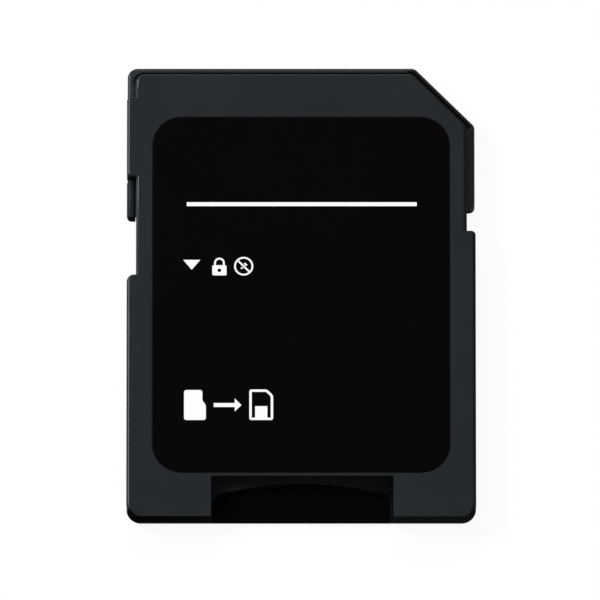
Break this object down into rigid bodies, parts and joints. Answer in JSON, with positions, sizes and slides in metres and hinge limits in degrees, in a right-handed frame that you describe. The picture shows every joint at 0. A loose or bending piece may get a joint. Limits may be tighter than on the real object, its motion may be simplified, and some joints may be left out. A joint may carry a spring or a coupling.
{
  "type": "memory card adapter",
  "caption": "Flat full-size memory card shell with a slanted corner, a lock slider and an open slot that takes a micro card and carries its contacts to the pads.",
  "frame": {"origin": "middle of the card's back face, the side with the contact windows", "axes": "+X across the card towards the edge with the slanted corner and the notch, +Y along it towards the contact edge, +Z out of the label side"},
  "size_m": [0.024, 0.032, 0.0021],
  "materials": {
    "shell_grey": "fine matt moulded, dark grey",
    "shell_black": "fine matt moulded, black",
    "slider_grey": "fine matt moulded, dark grey",
    "label_black": "satin printed film, black",
    "ink_white": "flat white ink",
    "contact_gold": "bright gold plating on spring copper alloy",
    "spring_steel": "rolled spring steel"
  },
  "bodies": {
    "housing": {"lower_shell": "shell_black", "upper_shell": "shell_grey", "label": "label_black", "label_print": "ink_white", "strip_holder": "shell_black", "strip_dat2": "contact_gold", "strip_dat3": "contact_gold", "strip_cmd": "contact_gold", "strip_vdd": "contact_gold", "strip_clk": "contact_gold", "strip_vss": "contact_gold", "strip_dat0": "contact_gold", "strip_dat1": "contact_gold", "latch_spring": "spring_steel"},
    "slider": {"lock_slider": "slider_grey"}
  },
  "joints": [
    {"name": "lock_slide", "type": "slide", "parent": "housing", "child": "slider", "axis": [0, -1, 0], "range_m": [0, 0.0041]}
  ]
}
